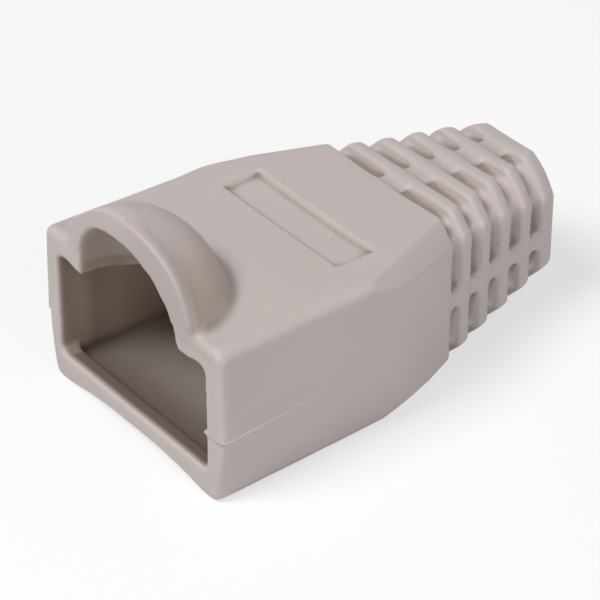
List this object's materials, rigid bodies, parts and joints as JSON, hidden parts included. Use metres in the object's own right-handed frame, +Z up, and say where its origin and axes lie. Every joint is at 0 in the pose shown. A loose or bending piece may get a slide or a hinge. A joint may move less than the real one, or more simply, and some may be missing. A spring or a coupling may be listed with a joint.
{
  "type": "rj45 strain relief boot",
  "caption": "Snagless slip-on boot for a modular network plug: box-shaped plug socket, domed latch hood and a flexible tapering tail with interrupted grooves around the cable bore.",
  "frame": {"origin": "centre of the bounding box's underside, where the flat base of the box rests", "axes": "+X along the cable, from the plug mouth to the tail's end; +Z up, through the latch hood; +Y completes the frame"},
  "size_m": [0.024, 0.0144, 0.0128],
  "materials": {
    "soft_pvc": "satin-matte warm light grey soft PVC, as moulded"
  },
  "bodies": {
    "root": {"boot": "soft_pvc"}
  },
  "joints": []
}
